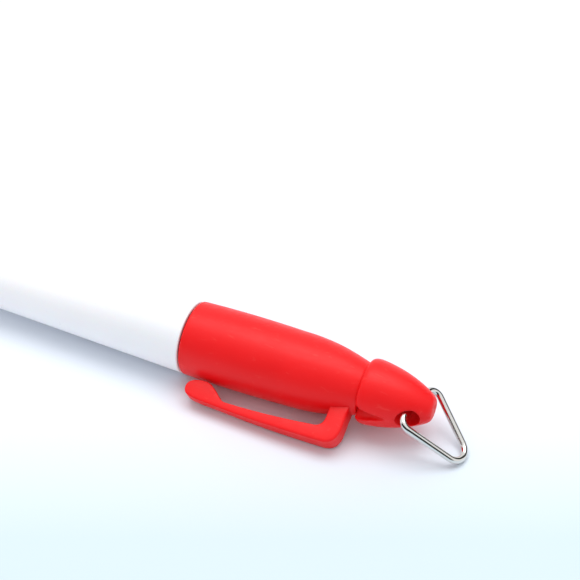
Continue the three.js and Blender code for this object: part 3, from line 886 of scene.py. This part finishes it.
front = run(front, (0, half_base, 0))
front = turn(front, (CORNER_BEND, RING_BASE / 2 - corner_trim, 0), -corner_turn)
front = run(front, down_leg * leg_run)
apex_centre = (RING_HEIGHT - APEX_BEND / math.sin(leg_angle), 0, 0)
front = turn(front, apex_centre, -apex_turn, APEX_STEPS)
front = run(front, up_leg * leg_run)
front = turn(front, (CORNER_BEND, corner_trim - RING_BASE / 2, 0), -corner_turn)
front = run(front, (0, half_base, 0))
bmesh.ops.holes_fill(ring_bm, edges=[e for e in ring_bm.edges if e.is_boundary], sides=WIRE_SIDES)
bmesh.ops.recalc_face_normals(ring_bm, faces=ring_bm.faces)
ring_turn = (
    Matrix.Rotation(math.radians(RING_SKEW), 4, "Z")
    @ Matrix.Rotation(math.radians(RING_DIP), 4, "X")
    @ Matrix.Rotation(math.radians(RING_SWING), 4, "Y")
)
place_ring = Matrix.Translation(RING_PLACE) @ ring_turn
bmesh.ops.transform(ring_bm, matrix=place_ring, verts=ring_bm.verts)
ring = keep(as_object(ring_bm, "ring_wire"), "ring", "wire_ring", nickel_finish)

# %% [markdown]
# ## Floor and light
# The marker lies on a white table in a white studio. The floor is a plain matt sheet whose colour
# is painted darker and faintly bluer towards the camera, as painted shade. The world is white, and
# a little dimmer as diffuse light than as the camera and reflections see it. One large soft lamp
# above gives the broad highlight along the top of the cap.
# Three dark cards stand out of the picture.
# They are hidden from the camera, from diffuse light and from shadows, so they show in
# reflections only, and they give the nickel wire its dark stripes. The floor has no shine, so it
# doesn't mirror them.

# %% Floor
FLOOR_HEIGHT = -6.74 * MM
FLOOR_HALF_SIZE = 2
MOTTLE_SIZE = 60
TOWARDS_CAMERA = (0.4, -0.92, 0.0)
# Painted shade on the floor: it begins at this distance towards the camera and is full at the next.
PAINTED_SHADE_START = 34 * MM
PAINTED_SHADE_FULL = 60 * MM

floor_bm = bmesh.new()
bmesh.ops.create_grid(
    floor_bm, x_segments=1, y_segments=1, size=FLOOR_HALF_SIZE,
    matrix=Matrix.Translation((0, 0, FLOOR_HEIGHT)),
)
floor_mesh = bpy.data.meshes.new("floor")
floor_bm.to_mesh(floor_mesh)
floor_bm.free()
floor = bpy.data.objects.new("floor", floor_mesh)
bpy.context.scene.collection.objects.link(floor)
floor_finish, floor_tree, floor_shader = finish_named(
    "white_table", ior=1.45, Roughness=0.6, Specular_IOR_Level=0.0
)
floor_place = add_node(floor_tree, "ShaderNodeTexCoord").outputs["Object"]
mottle = noise(floor_tree, floor_place, MOTTLE_SIZE).outputs["Fac"]
# Painted shade: the floor's colour turns darker and bluer towards the camera.
nearness = add_node(
    floor_tree, "ShaderNodeVectorMath", {0: floor_place, 1: TOWARDS_CAMERA}, operation="DOT_PRODUCT"
)
painted_shade = spread(
    floor_tree, nearness.outputs["Value"], From_Min=PAINTED_SHADE_START, From_Max=PAINTED_SHADE_FULL
)
white_tint = blend(floor_tree, mottle, "E9F0FA", "EDF3FC")
wire_up(floor_tree, floor_shader, blend(floor_tree, painted_shade, white_tint, "D4E5F0"))
floor_mesh.materials.append(floor_finish)

# %% Dark cards
PAPER_SIZE = 20

card_finish, card_tree, card_shader = finish_named("black_card", ior=1.45, Roughness=0.9)
card_place = add_node(card_tree, "ShaderNodeTexCoord").outputs["Object"]
paper = noise(card_tree, card_place, PAPER_SIZE).outputs["Fac"]
wire_up(card_tree, card_shader, blend(card_tree, paper, "181818", "202020"))


def dark_card(name, place, turn_about_z, size):
    """An upright card that shows in reflections only."""
    bm = bmesh.new()
    upright = Matrix.Rotation(math.pi / 2, 4, "X")
    bmesh.ops.create_grid(bm, x_segments=1, y_segments=1, size=0.5, matrix=upright)
    bmesh.ops.scale(bm, vec=(size[0], 1, size[1]), verts=bm.verts)
    matrix = Matrix.Translation(place) @ Matrix.Rotation(math.radians(turn_about_z), 4, "Z")
    bmesh.ops.transform(bm, matrix=matrix, verts=bm.verts)
    mesh = bpy.data.meshes.new(name)
    bm.to_mesh(mesh)
    bm.free()
    mesh.materials.append(card_finish)
    card = bpy.data.objects.new(name, mesh)
    bpy.context.scene.collection.objects.link(card)
    card.visible_camera = False
    card.visible_diffuse = False
    card.visible_shadow = False


dark_card("card_near", (0.08, -0.25, 0.14), turn_about_z=0, size=(0.7, 0.28))
dark_card("card_front_right", (0.26, -0.19, 0.11), turn_about_z=40, size=(0.3, 0.2))
dark_card("card_back_right", (0.232, 0.212, 0.12), turn_about_z=-32, size=(0.2, 0.2))

# %% Lamp and world
SKY_STRENGTH = 0.76
LAMP_SIZE = (0.5, 0.35)
LAMP_POWER = 1.65
LAMP_PLACE = (0.05, 0.1, 0.5)
LAMP_AIM = (0.08, 0, 0)

world = bpy.data.worlds.new("studio")
bpy.context.scene.world = world
world.use_nodes = True
sky = world.node_tree.nodes["Background"]
sky.inputs["Color"].default_value = linear("FFFFFF")
rays = add_node(world.node_tree, "ShaderNodeLightPath")
seen = add_node(
    world.node_tree, "ShaderNodeMath",
    {0: rays.outputs["Is Camera Ray"], 1: rays.outputs["Is Glossy Ray"]}, operation="MAXIMUM",
)
seen_or_through = add_node(
    world.node_tree, "ShaderNodeMath",
    {0: seen.outputs[0], 1: rays.outputs["Is Transmission Ray"]}, operation="MAXIMUM",
)
strength = spread(world.node_tree, seen_or_through.outputs[0], To_Min=SKY_STRENGTH, To_Max=1.0)
world.node_tree.links.new(strength, sky.inputs["Strength"])

lamp_data = bpy.data.lights.new("softbox", "AREA")
lamp_data.shape = "RECTANGLE"
lamp_data.size, lamp_data.size_y = LAMP_SIZE
lamp_data.energy = LAMP_POWER
lamp = bpy.data.objects.new("softbox", lamp_data)
lamp.location = LAMP_PLACE
lamp.rotation_euler = (Vector(LAMP_AIM) - lamp.location).to_track_quat("-Z", "Y").to_euler()
bpy.context.scene.collection.objects.link(lamp)
bpy.context.scene.view_settings.view_transform = "Standard"
